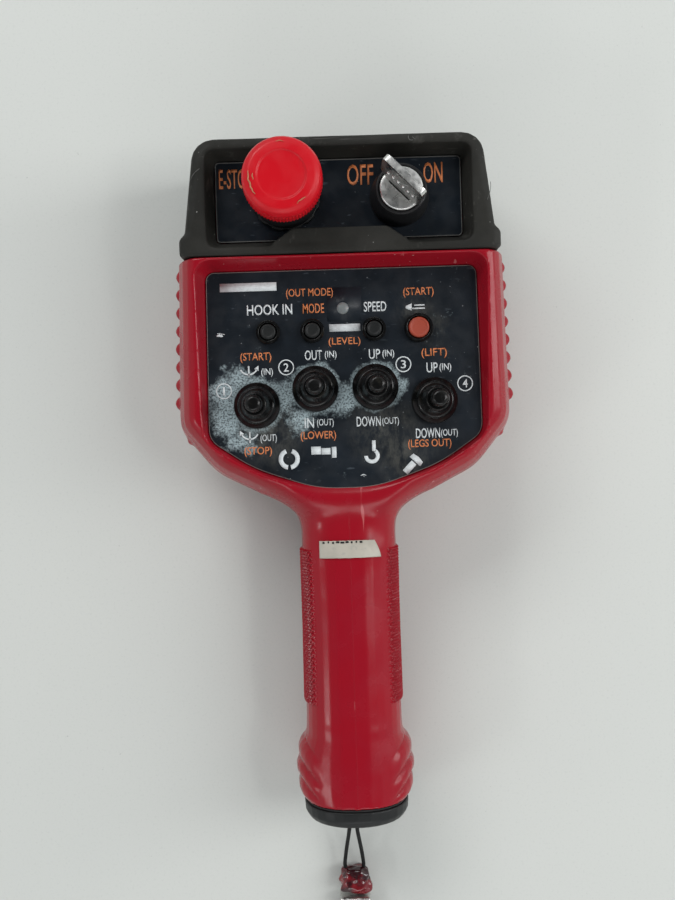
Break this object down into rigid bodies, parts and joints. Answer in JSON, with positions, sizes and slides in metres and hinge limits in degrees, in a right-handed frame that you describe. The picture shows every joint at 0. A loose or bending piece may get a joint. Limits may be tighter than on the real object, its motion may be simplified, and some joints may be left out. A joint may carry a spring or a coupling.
{
  "type": "hand-held crane remote control",
  "caption": "Pistol-shaped hand-held radio control station with hooded emergency stop and key switch, spring-centred levers, push buttons and wrist strap.",
  "frame": {"origin": "under the middle of the body, on the surface that it lies on, with its front panel up", "axes": "+Z out of the front panel, +Y from the handle towards the head, +X to the right when reading the panel"},
  "size_m": [0.139, 0.4552, 0.09],
  "materials": {
    "red_housing": "worn semi-gloss moulded plastic",
    "red_mushroom": "semi-gloss plastic with chipped print",
    "hood_rubber": "matte scuffed rubber",
    "boot_rubber": "matte rubber",
    "seal_rubber": "matte rubber",
    "panel_film": "satin film, worn",
    "black_plastic": "satin",
    "grey_button": "satin",
    "grey_cap": "fine textured",
    "orange_button": "satin",
    "led_lens": "frosted lens",
    "steel": "brushed",
    "chrome": "worn nickel plating",
    "circuit_board": "solder mask",
    "battery_wrap": "printed wrap without lettering",
    "white_tape": "torn adhesive tape",
    "black_cord": "braided cord",
    "red_sleeve": "glossy wrapped sleeve",
    "brown_webbing": "woven webbing"
  },
  "bodies": {
    "housing": {"main_housing": "red_housing", "rear_cover": "red_housing", "cover_gasket": "seal_rubber", "top_hood": "hood_rubber", "hood_plate": "panel_film", "panel_plate": "panel_film", "status_led": "led_lens", "button_ring_1": "boot_rubber", "button_ring_2": "boot_rubber", "button_ring_3": "boot_rubber", "button_ring_4": "boot_rubber", "toggle_boot_1": "boot_rubber", "toggle_boot_2": "boot_rubber", "toggle_boot_3": "boot_rubber", "toggle_boot_4": "boot_rubber", "toggle_body_1": "black_plastic", "toggle_body_2": "black_plastic", "toggle_body_3": "black_plastic", "toggle_body_4": "black_plastic", "cover_screw_1": "steel", "cover_screw_2": "steel", "cover_screw_3": "steel", "cover_screw_4": "steel", "battery_cell_1": "battery_wrap", "battery_cell_2": "battery_wrap", "battery_cell_3": "battery_wrap", "battery_cell_4": "battery_wrap", "estop_collar": "black_plastic", "estop_contact_block": "black_plastic", "key_bezel": "black_plastic", "key_switch_body": "black_plastic", "trigger_pin": "steel", "trigger_spring": "steel", "trigger_sensor": "black_plastic", "main_board": "circuit_board", "button_board": "circuit_board", "radio_module": "steel", "antenna": "black_plastic", "battery_holder": "black_plastic", "tape_label": "white_tape"},
    "stop_stem": {"estop_plunger": "black_plastic"},
    "stop_head": {"estop_mushroom": "red_mushroom"},
    "key_barrel": {"key_rotor": "chrome"},
    "key_blade": {"key": "chrome"},
    "speed_trigger": {"trigger": "black_plastic"},
    "battery_cap": {"end_cap": "grey_cap", "cap_seal": "seal_rubber", "strap_cord_left": "black_cord", "strap_cord_right": "black_cord", "strap_knot": "red_sleeve", "strap_crimp": "steel", "strap_band": "brown_webbing"},
    "button_1": {"push_button_1": "grey_button"},
    "lever_1": {"toggle_lever_1": "black_plastic"},
    "button_2": {"push_button_2": "grey_button"},
    "lever_2": {"toggle_lever_2": "black_plastic"},
    "button_3": {"push_button_3": "grey_button"},
    "lever_3": {"toggle_lever_3": "black_plastic"},
    "button_4": {"push_button_4": "orange_button"},
    "lever_4": {"toggle_lever_4": "black_plastic"}
  },
  "joints": [
    {"name": "button_1_push", "type": "slide", "parent": "housing", "child": "button_1", "axis": [0, 0, -1], "range_m": [0, 0.0012], "stiffness_N_per_m": 400},
    {"name": "button_2_push", "type": "slide", "parent": "housing", "child": "button_2", "axis": [0, 0, -1], "range_m": [0, 0.0012], "stiffness_N_per_m": 400},
    {"name": "button_3_push", "type": "slide", "parent": "housing", "child": "button_3", "axis": [0, 0, -1], "range_m": [0, 0.0012], "stiffness_N_per_m": 400},
    {"name": "button_4_push", "type": "slide", "parent": "housing", "child": "button_4", "axis": [0, 0, -1], "range_m": [0, 0.0012], "stiffness_N_per_m": 400},
    {"name": "lever_1_tilt", "type": "hinge", "parent": "housing", "child": "lever_1", "pos_m": [-0.0356, 0.0341, 0.051], "axis": [-1, 0, 0], "range_deg": [-12, 12], "stiffness_Nm_per_rad": 0.3, "deforming": ["toggle_boot_1"]},
    {"name": "lever_2_tilt", "type": "hinge", "parent": "housing", "child": "lever_2", "pos_m": [-0.0118, 0.0402, 0.051], "axis": [-1, 0, 0], "range_deg": [-12, 12], "stiffness_Nm_per_rad": 0.3, "deforming": ["toggle_boot_2"]},
    {"name": "lever_3_tilt", "type": "hinge", "parent": "housing", "child": "lever_3", "pos_m": [0.0125, 0.0402, 0.051], "axis": [-1, 0, 0], "range_deg": [-12, 12], "stiffness_Nm_per_rad": 0.3, "deforming": ["toggle_boot_3"]},
    {"name": "lever_4_tilt", "type": "hinge", "parent": "housing", "child": "lever_4", "pos_m": [0.0363, 0.0341, 0.051], "axis": [-1, 0, 0], "range_deg": [-12, 12], "stiffness_Nm_per_rad": 0.3, "deforming": ["toggle_boot_4"]},
    {"name": "stop_push", "type": "slide", "parent": "housing", "child": "stop_stem", "axis": [0, 0, -1], "range_m": [0, 0.004], "stiffness_N_per_m": 900},
    {"name": "stop_twist", "type": "hinge", "parent": "stop_stem", "child": "stop_head", "pos_m": [-0.0213, 0.1178, 0.076], "axis": [0, 0, -1], "range_deg": [0, 40], "stiffness_Nm_per_rad": 0.2},
    {"name": "key_turn", "type": "hinge", "parent": "housing", "child": "key_barrel", "pos_m": [0.0244, 0.1162, 0.06], "axis": [0, 0, -1], "range_deg": [0, 90]},
    {"name": "key_pull", "type": "slide", "parent": "key_barrel", "child": "key_blade", "axis": [0, 0, 1], "range_m": [0, 0.018]},
    {"name": "trigger_pull", "type": "hinge", "parent": "housing", "child": "speed_trigger", "pos_m": [0, 0.003, 0.02], "axis": [-1, 0, 0], "range_deg": [0, 9], "stiffness_Nm_per_rad": 0.4, "deforming": ["trigger_spring"]},
    {"name": "cap_slide", "type": "slide", "parent": "housing", "child": "battery_cap", "axis": [0, -1, 0], "range_m": [0, 0.03]}
  ]
}
